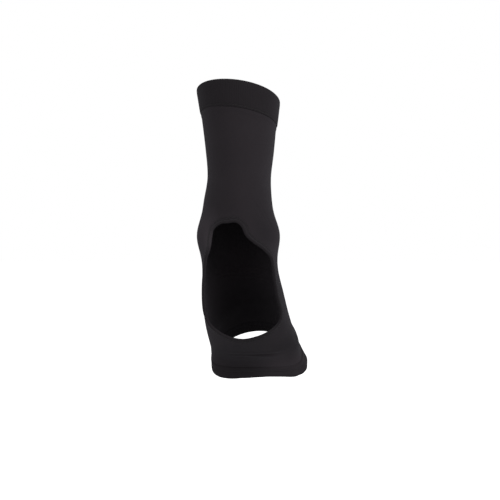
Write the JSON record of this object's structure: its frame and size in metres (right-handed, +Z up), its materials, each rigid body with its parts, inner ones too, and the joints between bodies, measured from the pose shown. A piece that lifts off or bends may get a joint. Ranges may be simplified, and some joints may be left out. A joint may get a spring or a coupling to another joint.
{
  "type": "open-heel ankle compression sleeve",
  "caption": "Black knitted ankle sleeve with an open heel, an elastic cuff, a bound heel opening and a toe hem, in its worn form.",
  "frame": {"origin": "the ankle's centre, inside the sleeve, midway between the two ankle bones", "axes": "+Z up, towards the cuff; +Y forwards, away from the heel; +X to the foot's inner side"},
  "size_m": [0.1064, 0.1212, 0.2804],
  "materials": {
    "knit": "black fine knit, matt with a faint sheen",
    "cuff": "black dense elastic knit, matt",
    "hem": "black dense elastic knit, matt",
    "binding": "black folded knit strip, matt"
  },
  "bodies": {
    "root": {"knit_tube": "knit", "top_cuff": "cuff", "toe_hem": "hem", "heel_binding": "binding"}
  },
  "joints": []
}
